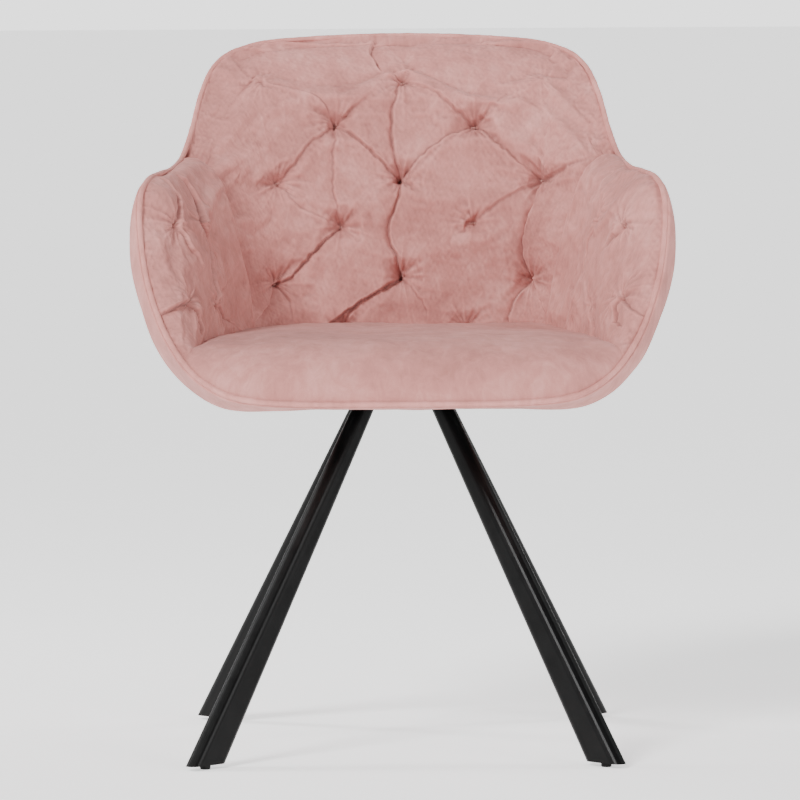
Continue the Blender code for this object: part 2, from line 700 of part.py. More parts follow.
def make_glide(name, side_x, side_y):
    """The round foot that stands on the floor, with its stem up in the plug."""
    place = (side_x * LEG_FOOT, side_y * LEG_FOOT)
    rounding = 0.0008
    foot = add_part(
        f"glide_{name}",
        cylinder_mesh("glide", GLIDE_R - rounding, 0.0, rounding, place, 24, GLIDE_R),
        "black_plastic",
    )
    join_round(foot, GLIDE_R, rounding * 0.999, LEG_FOOT_Z - GAP, place)
    join_round(foot, GLIDE_STEM_R, 0.002, LEG_FOOT_Z + GLIDE_STEM, place, 16)


def main():
    global PARTS, CUTTERS
    clear_scene()
    PARTS = new_collection("velvet_armchair")
    CUTTERS = new_collection("cutters")
    make_materials()
    for name, (side_x, side_y) in CORNERS.items():
        make_leg(name, side_x, side_y)
        make_leg_plug(name, side_x, side_y)
        make_glide(name, side_x, side_y)
    make_swivel()
    make_bucket_shell()
    make_outer_cover()
    make_dust_cover()
    make_seat_board()
    make_seat_cushion()
    make_pad("arm_right", ARM_START, ARM_END - PAD_SEAM)
    make_pad("back", ARM_END + PAD_SEAM, 2 * HALF - ARM_END - PAD_SEAM)
    make_pad("arm_left", 2 * HALF - ARM_END + PAD_SEAM, 2 * HALF - ARM_START)
    make_rim_piping()


main()
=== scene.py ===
"""The looks of the velvet bucket armchair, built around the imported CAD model.

Everything is in metres in the CAD frame: +Z up, the chair faces -Y, the floor is z = 0.
"""

import json
import math
from collections import namedtuple
from functools import partial

import bmesh
import bpy
import numpy as np
from mathutils import Matrix, Vector


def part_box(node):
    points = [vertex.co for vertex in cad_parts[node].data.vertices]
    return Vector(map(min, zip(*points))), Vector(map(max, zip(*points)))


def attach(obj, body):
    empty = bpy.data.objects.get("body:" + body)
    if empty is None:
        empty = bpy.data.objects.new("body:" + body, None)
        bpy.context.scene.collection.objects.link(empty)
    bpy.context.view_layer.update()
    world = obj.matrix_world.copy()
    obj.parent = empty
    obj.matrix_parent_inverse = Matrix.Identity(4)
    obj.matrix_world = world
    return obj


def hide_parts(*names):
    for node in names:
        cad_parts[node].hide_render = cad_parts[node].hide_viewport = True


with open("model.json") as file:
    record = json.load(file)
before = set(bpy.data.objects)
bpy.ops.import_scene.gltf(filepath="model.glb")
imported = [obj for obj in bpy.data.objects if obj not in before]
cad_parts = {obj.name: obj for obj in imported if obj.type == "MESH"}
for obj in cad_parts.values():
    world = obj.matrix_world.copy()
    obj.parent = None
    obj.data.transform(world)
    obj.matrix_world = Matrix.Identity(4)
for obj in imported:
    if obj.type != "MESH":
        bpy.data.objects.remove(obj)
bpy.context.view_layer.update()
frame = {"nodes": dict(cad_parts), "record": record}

# ------------------------------------------------------------------- the camera
CAMERA_DISTANCE = 6.58
CAMERA_HEIGHT = 0.835
CAMERA_AZIMUTH = -0.4  # degrees, seen from above
CAMERA_PITCH = 3.771
CAMERA_ROLL = 0.3
CAMERA_LENS = 254.9
CAMERA_SIDE = -0.0029  # how far the chair's axis stands to the side of the picture's middle

# ------------------------------------------------------- the bucket, as in the CAD
# Half of the bucket's loft, from the middle of the front (0) round the right arm to the middle of the back
# (18): the rim of the outer cover, the wall's lean there in degrees, and the seat line of the pads.
STATIONS = (
    ((0.000, -0.2880, 0.4110), 88, (0.000, -0.2820, 0.4205)),
    ((0.120, -0.2860, 0.4115), 88, (0.118, -0.2800, 0.4210)),
    ((0.185, -0.2740, 0.4165), 72, (0.181, -0.2665, 0.4270)),
    ((0.222, -0.2540, 0.4310), 50, (0.213, -0.2480, 0.4395)),
    ((0.251, -0.2280, 0.4560), 28, (0.233, -0.2190, 0.4490)),
    ((0.276, -0.2000, 0.4960), 12, (0.238, -0.1800, 0.4570)),
    ((0.294, -0.1730, 0.5480), -2, (0.234, -0.1350, 0.4620)),
    ((0.3025, -0.1480, 0.6030), -11, (0.228, -0.0950, 0.4660)),
    ((0.303, -0.1240, 0.6430), -19, (0.221, -0.0600, 0.4680)),
    ((0.296, -0.0870, 0.6610), -24, (0.213, -0.0250, 0.4700)),
    ((0.284, -0.0200, 0.6665), -21, (0.204, 0.0100, 0.4720)),
    ((0.273, 0.0560, 0.6690), -13, (0.195, 0.0500, 0.4740)),
    ((0.262, 0.1200, 0.6820), -4, (0.184, 0.0980, 0.4750)),
    ((0.2515, 0.1620, 0.7130), 3, (0.172, 0.1260, 0.4740)),
    ((0.241, 0.2020, 0.7540), 7, (0.155, 0.1430, 0.4730)),
    ((0.225, 0.2360, 0.7860), 9, (0.128, 0.1500, 0.4720)),
    ((0.196, 0.2600, 0.8050), 10, (0.098, 0.1530, 0.4710)),
    ((0.140, 0.2780, 0.8160), 10, (0.062, 0.1545, 0.4700)),
    ((0.000, 0.2900, 0.8215), 10, (0.000, 0.1550, 0.4700)),
)
HALF = len(STATIONS) - 1
ARM_START, ARM_END = 3.6, 12.0
BASE_CENTRE_Y = -0.030
BASE_RX, BASE_RY, BASE_POWER = 0.165, 0.170, 2.8
WALL_REACH, WALL_RISE = 0.65, 0.42
PAD_RISE, ARM_ROLL, BACK_ROLL, ROLL_LIMIT = 0.38, 0.042, 0.056, 0.45
COVER_THICKNESS, SHELL_THICKNESS = 0.0025, 0.0045
PAD_DEPTH = 0.0085  # the pads' back, measured in from the outside of the outer cover
PAD_EDGE_DEPTH = 0.0045  # the pads' seam at the rim, inside the piping
SEAT_CENTRE_Y, SEAT_CROWN_Z = -0.060, 0.4865
BASE_Z = float(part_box("outer_cover")[0][2])


# ------------------------------------------------------------------ the stitching
SIM_SPACING = 0.0045  # between the points of the simulated cloth
FINE_SPACING = 0.0014  # between the points of the finished pads
DRAPE_FRAMES = 20
DRAPE_CAP = 0.014  # the furthest that the simulation may move a point
GROWTH = 0.026  # how much larger the slack cloth is than what it covers, as a share
PRESSURE = 10.0
PAD_TUCK = -0.06  # the pads' lower end, below the seat line, as a share of their height
TUFT_DEPTH, TUFT_REACH = 0.013, 0.016
RAY_HEIGHT, RAY_COUNTS, RAY_REACH = 0.0010, (3, 6, 9), 0.011
VALLEY_SIZE, VALLEY_WIDTH, VALLEY_MIDDLE = 1.8, 0.009, 0.55
PLEAT_SIZE, PLEAT_WIDTH = 1.7, 0.009
BAR_LENGTH, BAR_TURNS = 0.0085, 9
BAR_HALF_HEIGHT, THREAD_R = 0.0011, 0.00052
PIPING_R = 0.0031
SEAT_POWER = 6.0  # how square the cushion's crown is

# -------------------------------------------------------------------- the studio
FLOOR_HALF = 2500.0
FLOOR_GLOW = 0.9
HORIZON_STRENGTH, WORLD_STRENGTH = 2.15, 0.16
HORIZON_TOP, WORLD_START = 0.085, 0.12  # heights on the unit sphere


# ------------------------------------------------------------- numbers and noise
def unit(v):
    return v / np.maximum(np.linalg.norm(v, axis=-1, keepdims=True), 1e-12)


def smooth_step(low, high, x):
    t = np.clip((x - low) / (high - low), 0.0, 1.0)
    return t * t * (3 - 2 * t)


def ripple(points, wavelength, seed, count=28, spread=0.6):
    """A smooth random field over points, roughly between -1 and 1, of waves near one wavelength."""
    rng = np.random.default_rng(seed)
    points = np.asarray(points)
    directions = unit(rng.normal(size=(count, points.shape[-1])))
    lengths = wavelength * (1 + spread * rng.uniform(-1, 1, size=(count, 1)))
    phases = rng.uniform(0, 2 * math.pi, size=count)
    return np.cos(points @ (directions * 2 * math.pi / lengths).T + phases).sum(-1) * math.sqrt(1.0 / count)


# ------------------------------------------------------------ the bucket's surfaces
def catmull_rom(a, b, c, d, t):
    return 0.5 * (2 * b + (c - a) * t + (2 * a - 5 * b + 4 * c - d) * t**2 + (3 * b - a - 3 * c + d) * t**3)


def loop_table():
    """The stations of the whole closed loop as one array: rim, lean, seat line."""
    half = np.array([(*rim, math.radians(lean), *seat) for rim, lean, seat in STATIONS])
    mirrored = half[-2:0:-1] * (-1, 1, 1, 1, -1, 1, 1)
    return np.concatenate([half, mirrored])


TABLE = loop_table()


def section(s):
    """Rim, lean and seat line at the places s, an array, on the loop from 0 to 2 * HALF."""
    whole = np.floor(s).astype(int)
    around = [TABLE[(whole + k) % len(TABLE)] for k in (-1, 0, 1, 2)]
    values = catmull_rom(*around, (s - whole)[..., None])
    return values[..., 0:3], values[..., 3], values[..., 4:7]


def base_edge(s, scale=1.0, z=BASE_Z):
    """The rounded edge of the bucket's flat base, in the direction of the rim at s."""
    rim = section(s)[0]
    direction = unit(np.stack([rim[..., 0] / BASE_RX, (rim[..., 1] - BASE_CENTRE_Y) / BASE_RY], -1))
    reach = (np.abs(direction) ** BASE_POWER).sum(-1) ** (-1 / BASE_POWER) * scale
    x = BASE_RX * reach * direction[..., 0]
    y = BASE_RY * reach * direction[..., 1] + BASE_CENTRE_Y
    return np.stack([x, y, np.full_like(x, z)], -1)


def bezier(p0, p1, p2, p3, t):
    t = np.asarray(t)[..., None]
    u = 1 - t
    return p0 * u**3 + p1 * (3 * u * u * t) + p2 * (3 * u * t * t) + p3 * t**3


def wall_surface(s, v):
    """The outside of the bucket, from its base (v 0) to the rim (v 1)."""
    rim, lean, _ = section(s)
    foot = base_edge(s)
    level = rim - foot
    level[..., 2] = 0
    rise = np.linalg.norm(rim - foot, axis=-1, keepdims=True) * WALL_RISE
    upright = unit(level) * np.sin(lean)[..., None]
    upright[..., 2] = np.cos(lean)
    return bezier(foot, foot + level * WALL_REACH, rim - upright * rise, rim, v)


def normals_of(surface, s, v, step=0.02):
    across = surface(s + step, v) - surface(s - step, v)
    up = surface(s, np.minimum(1.0, v + step)) - surface(s, v - step)
    return unit(np.cross(across, up))


def wall(s, v, depth=0.0):
    """The bucket's wall at a depth below its outside."""
    return wall_surface(s, v) - normals_of(wall_surface, s, v) * np.asarray(depth)[..., None]


def pad_surface(s, w):
    """The pads' plain face, from the seat line (w 0) to the rim (w 1)."""
    seat = section(s)[2]
    one = np.ones_like(s)
    rim = wall(s, one, PAD_EDGE_DEPTH)
    place = HALF - np.abs(s - HALF)
    share = np.clip((place - ARM_END + 2) / 4, 0, 1)
    height = np.linalg.norm(rim - seat, axis=-1)
    roll = np.minimum(ARM_ROLL + (BACK_ROLL - ARM_ROLL) * share, ROLL_LIMIT * height)
    start = seat + np.stack([0 * s, 0 * s, PAD_RISE * height], -1)
    return bezier(seat, start, rim - normals_of(wall_surface, s, one) * roll[..., None], rim, w)


def even_places(first, last, spacing, surface, v=0.6):
    """Places on the loop from first to last that lie evenly along the surface at the height v."""
    fine = np.linspace(first, last, 800)
    points = surface(fine, np.full_like(fine, v))
    length = np.concatenate([[0], np.cumsum(np.linalg.norm(np.diff(points, axis=0), axis=1))])
    count = int(round(length[-1] / spacing)) + 1
    return np.interp(np.linspace(0, length[-1], count), length, fine)


# --------------------------------------------------------------------- mesh making
def new_object(name, mesh, material, body):
    obj = bpy.data.objects.new(name, mesh)
    bpy.context.scene.collection.objects.link(obj)
    mesh.materials.append(material)
    mesh.shade_smooth()
    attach(obj, body)
    return obj


def grid_faces(rows, columns, start=0, closed=False, flip=False):
    """Quads of a grid whose vertices are numbered row by row."""
    j, i = np.meshgrid(np.arange(rows - 1), np.arange(columns if closed else columns - 1), indexing="ij")
    following = (i + 1) % columns
    a, b = j * columns + i, j * columns + following
    quads = np.stack([a, b, b + columns, a + columns], -1).reshape(-1, 4) + start
    return quads[:, ::-1] if flip else quads


def mesh_of(name, points, faces):
    mesh = bpy.data.meshes.new(name)
    mesh.from_pydata(points.reshape(-1, 3).tolist(), [], [tuple(int(i) for i in f) for f in faces])
    mesh.update()
    return mesh


def turn_outward(mesh):
    """Makes the closed mesh's faces all look outwards."""
    bm = bmesh.new()
    bm.from_mesh(mesh)
    bmesh.ops.recalc_face_normals(bm, faces=bm.faces)
    bm.to_mesh(mesh)
    bm.free()


def closed_grid_pair(name, front, back, loop):
    """A closed mesh between two grids of the same shape: the sides join their borders."""
    rows, columns = front.shape[:2]
    total = rows * columns
    faces = [grid_faces(rows, columns, 0, loop), grid_faces(rows, columns, total, loop, flip=True)]
    first, last = np.arange(columns), np.arange(columns) + (rows - 1) * columns
    borders = [first[::-1], last]
    if not loop:
        left, right = np.arange(rows) * columns, np.arange(rows) * columns + columns - 1
        borders += [left, right[::-1]]
    for border in borders:
        following = np.roll(border, -1) if loop else border[1:]
        here = border if loop else border[:-1]
        faces.append(np.stack([following, here, here + total, following + total], -1))
    points = np.concatenate([front.reshape(-1, 3), back.reshape(-1, 3)])
    mesh = mesh_of(name, points, np.concatenate(faces))
    turn_outward(mesh)
    return mesh


# ------------------------------------------------------------------------ materials
class Nodes:
    """Small helper to lay out one material's nodes."""

    def __init__(self, name):
        self.material = bpy.data.materials.new(name)
        self.material.use_nodes = True
        self.tree = self.material.node_tree
        self.shader = self.tree.nodes["Principled BSDF"]
        self.place = self.tree.nodes.new("ShaderNodeTexCoord").outputs["Object"]

    def add(self, kind, **inputs):
        node = self.tree.nodes.new(kind)
        for key, value in inputs.items():
            self.feed(node.inputs[key.replace("_", " ")], value)
        return node

    def feed(self, socket, value):
        if isinstance(value, bpy.types.NodeSocket):
            self.tree.links.new(value, socket)
        else:
            socket.default_value = value

    def noise(self, scale, detail=2.0, roughness=0.5, stretch=None, distortion=0.0):
        place = self.place
        if stretch:
            mapping = self.add("ShaderNodeMapping", Vector=place, Scale=stretch)
            place = mapping.outputs["Vector"]
        node = self.add(
            "ShaderNodeTexNoise",
            Vector=place,
            Scale=scale,
            Detail=detail,
            Roughness=roughness,
            Distortion=distortion,
        )
        return node.outputs["Fac"]

    def ramp(self, value, *stops):
        node = self.add("ShaderNodeValToRGB", Fac=value)
        elements = node.color_ramp.elements
        while len(elements) < len(stops):
            elements.new(0.5)
        for element, (position, colour) in zip(elements, stops):
            element.position = position
            element.color = colour if len(colour) == 4 else (*colour, 1.0)
        return node.outputs["Color"]

    def mix(self, factor, a, b, blend="MIX"):
        node = self.add("ShaderNodeMix")
        node.data_type = "RGBA"
        node.blend_type = blend
        self.feed(node.inputs[0], factor)
        self.feed(node.inputs[6], a)
        self.feed(node.inputs[7], b)
        return node.outputs[2]

    def math(self, operation, a, b=0.0):
        node = self.add("ShaderNodeMath")
        node.operation = operation
        self.feed(node.inputs[0], a)
        self.feed(node.inputs[1], b)
        return node.outputs[0]

    def bump(self, height, distance, strength=1.0, below=None):
        node = self.add("ShaderNodeBump", Height=height, Distance=distance, Strength=strength)
        if below is not None:
            self.feed(node.inputs["Normal"], below)
        return node.outputs["Normal"]

    def finish(self, **inputs):
        for key, value in inputs.items():
            self.feed(self.shader.inputs[key.replace("_", " ")], value)
        return self.material


VELVET_DARK = (0.43, 0.170, 0.150)
VELVET_MID = (0.57, 0.240, 0.213)
VELVET_LIGHT = (0.71, 0.340, 0.306)


def velvet_material(name="velvet", brightness=1.0):
    """Crushed velvet: patches where the nap lies another way, short streaks, a fine pile, with painted shade
    in the creases and a painted highlight on the ridges.
    """
    n = Nodes(name)
    tones = (VELVET_DARK, VELVET_MID, VELVET_LIGHT)
    dark, mid, light = (tuple(channel * brightness for channel in tone) for tone in tones)
    patches = n.noise(13.0, 4.0, 0.6, distortion=0.9)
    streaks = n.noise(70.0, 5.0, 0.62, stretch=(1.0, 1.0, 0.45), distortion=1.0)
    pile = n.noise(950.0, 2.0, 0.7)
    nap = n.math("ADD", n.math("MULTIPLY", patches, 0.6), n.math("MULTIPLY", streaks, 0.4))
    colour = n.ramp(nap, (0.30, dark), (0.50, mid), (0.72, light))
    bend = n.add("ShaderNodeNewGeometry").outputs["Pointiness"]  # 0.5 where the mesh is flat
    # painted shade and highlight: the mesh's pointiness darkens the colour in creases and lightens it on
    # ridges
    painted_crease_shade_ridge_highlight = n.ramp(bend, (0.44, (0.60,) * 3), (0.498, (0.88,) * 3), (0.53, (1.0,) * 3))
    colour = n.mix(1.0, colour, painted_crease_shade_ridge_highlight, "MULTIPLY")
    grain = n.ramp(pile, (0.25, (0.80, 0.80, 0.80)), (0.75, (1.0, 1.0, 1.0)))
    colour = n.mix(0.55, colour, n.mix(1.0, colour, grain, "MULTIPLY"))
    soft = n.bump(n.noise(120.0, 3.0, 0.6), 0.0006, 0.35)
    normal = n.bump(pile, 0.00035, 0.45, soft)
    roughness = n.ramp(streaks, (0.3, (0.92,) * 3), (0.7, (0.74,) * 3))
    return n.finish(
        Base_Color=colour,
        Roughness=roughness,
        Normal=normal,
        Sheen_Weight=0.16,
        Sheen_Roughness=0.45,
        Sheen_Tint=(1.0, 0.82, 0.79, 1.0),
        Specular_IOR_Level=0.12,
    )


def thread_material():
    n = Nodes("sewing_thread")
    fibre = n.noise(1500.0, 2.0, 0.6)
    colour = n.ramp(fibre, (0.3, (0.40, 0.18, 0.155)), (0.7, (0.56, 0.27, 0.24)))
    return n.finish(Base_Color=colour, Roughness=0.6, Normal=n.bump(fibre, 0.0001, 0.5))


def black_coat_material():
    """Satin black powder coat on steel: a fine orange peel and slightly rubbed patches."""
    n = Nodes("black_powder_coat")
    peel = n.noise(1400.0, 2.0, 0.5)
    wear = n.noise(35.0, 4.0, 0.6)
    colour = n.ramp(wear, (0.35, (0.0022, 0.0022, 0.0023)), (0.75, (0.0045, 0.0045, 0.0046)))
    roughness = n.ramp(wear, (0.3, (0.30,) * 3), (0.8, (0.40,) * 3))
    return n.finish(
        Base_Color=colour,
        Roughness=roughness,
        Normal=n.bump(peel, 0.00008, 0.35),
        Specular_IOR_Level=0.12,
    )


def plastic_material(name, dark, light, roughness=0.5):
    n = Nodes(name)
    grain = n.noise(900.0, 3.0, 0.6)
    colour = n.ramp(n.noise(60.0, 3.0), (0.3, dark), (0.7, light))
    rough = n.ramp(grain, (0.2, (roughness - 0.08,) * 3), (0.8, (roughness + 0.08,) * 3))
    return n.finish(
        Base_Color=colour, Roughness=rough, Normal=n.bump(grain, 0.00006, 0.5), Specular_IOR_Level=0.15
    )


def zinc_material():
    n = Nodes("zinc_plated_steel")
    brushed = n.noise(260.0, 4.0, 0.6, stretch=(1.0, 6.0, 1.0))
    cloud = n.noise(70.0, 3.0)
    colour = n.ramp(cloud, (0.3, (0.45, 0.45, 0.46)), (0.7, (0.66, 0.66, 0.68)))
    rough = n.ramp(brushed, (0.2, (0.24,) * 3), (0.8, (0.42,) * 3))
    return n.finish(Base_Color=colour, Metallic=1.0, Roughness=rough, Normal=n.bump(brushed, 0.00003, 0.4))


def felt_material():
    n = Nodes("black_felt")
    weave = n.noise(700.0, 4.0, 0.7)
    colour = n.ramp(weave, (0.3, (0.006, 0.006, 0.006)), (0.7, (0.024, 0.024, 0.025)))
    return n.finish(Base_Color=colour, Roughness=0.95, Normal=n.bump(weave, 0.0003, 0.6), Sheen_Weight=0.2)


def plywood_material():
    n = Nodes("plywood")
    grain = n.noise(18.0, 5.0, 0.65, stretch=(1.0, 9.0, 1.0), distortion=0.8)
    colour = n.ramp(grain, (0.25, (0.42, 0.27, 0.14)), (0.55, (0.60, 0.43, 0.25)), (0.8, (0.70, 0.53, 0.33)))
    return n.finish(Base_Color=colour, Roughness=0.65, Normal=n.bump(grain, 0.0002, 0.4))


def floor_material():
    n = Nodes("studio_floor")
    tone = n.ramp(n.noise(3.0, 2.0), (0.3, (0.90, 0.90, 0.90)), (0.7, (0.93, 0.93, 0.93)))
    return n.finish(
        Base_Color=tone,
        Roughness=0.9,
        Specular_IOR_Level=0.1,
        Emission_Color=(1.0, 1.0, 1.0, 1.0),
        Emission_Strength=FLOOR_GLOW,
    )


VELVET = velvet_material()
# painted highlight: the piping gets a copy of the velvet made 3% brighter, to light its band
PIPING_VELVET_PAINTED_LIGHTER = velvet_material("velvet_piping_painted_highlight", 1.03)
THREAD = thread_material()
BLACK_COAT = black_coat_material()
BLACK_PLASTIC = plastic_material("black_plastic", (0.003, 0.003, 0.003), (0.007, 0.007, 0.007))
SHELL_PLASTIC = plastic_material("shell_plastic", (0.035, 0.035, 0.035), (0.055, 0.055, 0.055))
ZINC = zinc_material()
FELT = felt_material()
PLYWOOD = plywood_material()


def paint_cad_nodes():
    """Gives each CAD node its finish."""
    finishes = {
        "black_steel": BLACK_COAT,
        "black_plastic": BLACK_PLASTIC,
        "zinc_steel": ZINC,
        "black_felt": FELT,
        "plywood": PLYWOOD,
        "shell_plastic": SHELL_PLASTIC,
        "velvet": VELVET,
        "foam": VELVET,
    }
    for part in frame["record"]["subparts"]:
        node = frame["nodes"][part["node"]]
        for slot in node.material_slots:
            slot.material = finishes[part["material_slot"]]


# --------------------------------------------------------------- the upholstery
def border_distances(points):
    """Distances in metres along the grid from its four borders: left, right, bottom, top."""
    across = np.linalg.norm(np.diff(points, axis=1), axis=-1)
    up = np.linalg.norm(np.diff(points, axis=0), axis=-1)
    left = np.concatenate([np.zeros((len(points), 1)), np.cumsum(across, axis=1)], axis=1)
    bottom = np.concatenate([np.zeros((1, points.shape[1])), np.cumsum(up, axis=0)], axis=0)
    return left, left[:, -1:] - left, bottom, bottom[-1:] - bottom


def nearest_on_line(plane, line):
    """Signed distance to a line of corners (positive on its left), and the share of the way along it."""
    line = np.asarray(line, float)
    best = np.full(plane.shape[:-1], 1e9)
    signed = np.zeros(plane.shape[:-1])
    share = np.zeros(plane.shape[:-1])
    lengths = np.linalg.norm(np.diff(line, axis=0), axis=1)
    before = np.concatenate([[0], np.cumsum(lengths)])
    for a, b, length, start in zip(line, line[1:], lengths, before):
        t = np.clip(((plane - a) @ (b - a)) / length**2, 0, 1)
        offset = plane - (a + t[..., None] * (b - a))
        distance = np.linalg.norm(offset, axis=-1)
        turn = (b - a)[0] * (plane - a)[..., 1] - (b - a)[1] * (plane - a)[..., 0]
        nearer = distance < best
        best = np.where(nearer, distance, best)
        signed = np.where(nearer, np.where(turn >= 0, distance, -distance), signed)
        share = np.where(nearer, (start + t * length) / before[-1], share)
    return signed, share


def rounded_line(line, steps=6):
    """A smooth line through the given corners."""
    line = np.asarray(line, float)
    padded = np.concatenate([[2 * line[0] - line[1]], line, [2 * line[-1] - line[-2]]])
    points = [line[0]]
    for k in range(len(line) - 1):
        for t in np.linspace(0, 1, steps + 1)[1:]:
            points.append(catmull_rom(*padded[k : k + 4], t))
    return np.array(points)


def wandering(plane, seed, amount=0.0016, wavelength=0.030):
    """The plane shifted a little at random, so that straight lines in it wander."""
    shift = np.stack([ripple(plane, wavelength, seed), ripple(plane, wavelength, seed + 500)], -1)
    return plane + amount * shift


def valley(plane, line, depth, seed):
    """A soft valley along a line: deepest at its ends, and VALLEY_MIDDLE times as deep halfway."""
    signed, share = nearest_on_line(wandering(plane, seed), rounded_line(line))
    along = VALLEY_MIDDLE + (1 - VALLEY_MIDDLE) * np.abs(2 * share - 1) ** 1.5
    return -depth * along * np.exp(-np.sqrt(signed**2 + 0.0007**2) / VALLEY_WIDTH)


def pleat(plane, line, rise, depth, side, start, end, seed):
    """A tucked fold: on one side the cloth stands proud of the line, on the other it drops behind it.

    side 1 is proud on the line's left and -1 on its right. start and end are its strength at its two ends.
    """
    signed, share = nearest_on_line(wandering(plane, seed, 0.0010, 0.022), rounded_line(line))
    signed = signed * side
    along = (start + (end - start) * share) * (0.75 + 0.25 * np.sin(math.pi * share))
    lip = PLEAT_SIZE * rise * np.exp(-np.maximum(signed, 0) / PLEAT_WIDTH)
    drop = -PLEAT_SIZE * depth * np.exp(np.minimum(signed, 0) / (0.8 * PLEAT_WIDTH))
    blend = smooth_step(-0.0010, 0.0010, signed)
    reach = np.abs(signed)
    ends = np.minimum(share, 1 - share)
    fade = np.where((ends < 1e-6) & (reach > 0.0015), np.exp(-((reach / 0.006) ** 2)), 1.0)
    return along * (drop + (lip - drop) * blend) * fade


def tuft_pit(plane, centre, depth):
    """The pit that a stitched tuft pulls into the pad, a little wider than it is high."""
    offset = (plane - np.asarray(centre)) / (1.25, 1.0)
    radius = np.linalg.norm(offset, axis=-1)
    return -depth * np.exp(-np.sqrt(radius**2 + 0.0030**2) / TUFT_REACH)


def tuft_rays(plane, centre, height, seed):
    """Uneven wrinkles running out of a tuft."""
    offset = plane - np.asarray(centre)
    radius = np.linalg.norm(offset, axis=-1)
    angle = np.arctan2(offset[..., 1], offset[..., 0])
    rng = np.random.default_rng(seed)
    wrinkles = np.zeros_like(radius)
    for count in RAY_COUNTS:
        turn = rng.uniform(0, 2 * math.pi)
        swirl = rng.uniform(-25, 25)
        bend = 0.6 * np.sin(angle + rng.uniform(0, 6.28))
        wrinkles += np.cos(count * (angle + bend / 3) + turn + swirl * radius) / 1.7
    ridges = 1 - 2 * np.abs(wrinkles) ** 0.8
    fade = (radius / RAY_REACH) * np.exp(1 - radius / RAY_REACH)
    return height * ridges * fade


def drape(points, pins, slack, fullness):
    """The grid after a cloth simulation: held where pins is 1, with cloth to spare where slack is 1.

    The back has a fullness of 1. A pad of less fullness gets less pressure and less spare cloth.
    """
    rows, columns = points.shape[:2]
    sheet = bpy.data.objects.new("draping", mesh_of("draping", points, grid_faces(rows, columns)))
    bpy.context.scene.collection.objects.link(sheet)
    group = sheet.vertex_groups.new(name="pins")
    loose = sheet.vertex_groups.new(name="slack")
    for target, weights in ((group, pins.reshape(-1)), (loose, slack.reshape(-1))):
        for index in np.nonzero(weights > 0.01)[0]:
            target.add([int(index)], float(weights[index]), "REPLACE")
    modifier = sheet.modifiers.new("cloth", "CLOTH")
    cloth = modifier.settings
    cloth.quality = 8
    cloth.mass = 0.25
    cloth.tension_stiffness = 30
    cloth.compression_stiffness = 18
    cloth.shear_stiffness = 8
    cloth.bending_stiffness = 3.0
    cloth.air_damping = 2.0
    cloth.vertex_group_mass = "pins"
    cloth.vertex_group_shrink = "slack"
    cloth.shrink_min = 0.0
    cloth.shrink_max = -GROWTH * fullness
    cloth.use_pressure = True
    cloth.uniform_pressure_force = PRESSURE * fullness
    cloth.effector_weights.gravity = 0
    modifier.collision_settings.use_collision = False
    modifier.point_cache.frame_end = DRAPE_FRAMES
    for number in range(1, DRAPE_FRAMES + 1):
        bpy.context.scene.frame_set(number)
    evaluated = sheet.evaluated_get(bpy.context.evaluated_depsgraph_get())
    moved = np.empty(rows * columns * 3)
    evaluated.data.vertices.foreach_get("co", moved)
    mesh = sheet.data
    bpy.data.objects.remove(sheet)
    bpy.data.meshes.remove(mesh)
    bpy.context.scene.frame_set(1)
    step = moved.reshape(points.shape) - points
    length = np.linalg.norm(step, axis=-1, keepdims=True)
    return points + step * np.minimum(1, DRAPE_CAP / np.maximum(length, 1e-9))


def refine(values, rows, columns):
    """A grid of vectors resampled smoothly to another number of rows and columns."""
    for axis, count in ((0, rows), (1, columns)):
        size = values.shape[axis]
        place = np.linspace(0, size - 1, count)
        whole = np.minimum(place.astype(int), size - 2)
        around = [np.take(values, np.clip(whole + k, 0, size - 1), axis=axis) for k in (-1, 0, 1, 2)]
        shape = [1] * values.ndim
        shape[axis] = count
        values = catmull_rom(*around, (place - whole).reshape(shape))
    return values


def pin_weights(plane, tufts, lines):
    """1 on the grid's borders and at the tufts, less along the folds, 0 elsewhere."""
    pins = np.zeros(plane.shape[:-1])
    for line, weight in lines:
        signed, _ = nearest_on_line(plane, rounded_line(line))
        pins = np.maximum(pins, weight * (np.abs(signed) < SIM_SPACING * 0.75))
    for across, up, strength in tufts:
        offset = np.abs(plane - (across, up)) / (0.0062, 0.0034)
        pins = np.where(offset.max(-1) < 1, np.maximum(pins, min(1.0, strength)), pins)
    pins[[0, -1], :] = 1
    pins[:, [0, -1]] = 1
    return pins


def slack_weights(face, plane, tufts):
    """Where the cover has cloth to spare: round the tufts, and not along the seams."""
    left, right, _, top = border_distances(face)
    edge = np.minimum(np.minimum(left, right), top)
    near = np.zeros(plane.shape[:-1])
    for across, up, strength in tufts:
        distance = np.linalg.norm(plane - (across, up), axis=-1)
        near = np.maximum(near, strength * np.exp(-((distance / 0.055) ** 2)))
    return near * smooth_step(0.008, 0.040, edge)


# One tufted pad: its stretch of the loop, the two coordinates that place its tufts, its height without its
# stitching, the stitching, the CAD nodes it replaces, its random seed, and its fullness against the back's.
Pad = namedtuple("Pad", "name first last axes base_height tufts folds pleats replaced seed fullness")


def pad_grid(pad, spacing):
    """The places on the loop and the shares of the height for a grid over the pad."""
    places = even_places(pad.first, pad.last, spacing, pad_surface)
    middle = np.array([(pad.first + pad.last) / 2])
    tall = np.linalg.norm(pad_surface(middle, np.array([1.0]))[0] - pad_surface(middle, np.array([0.0]))[0])
    shares = np.linspace(PAD_TUCK, 1.0, int(tall * 1.15 / spacing))
    return np.meshgrid(places, shares)


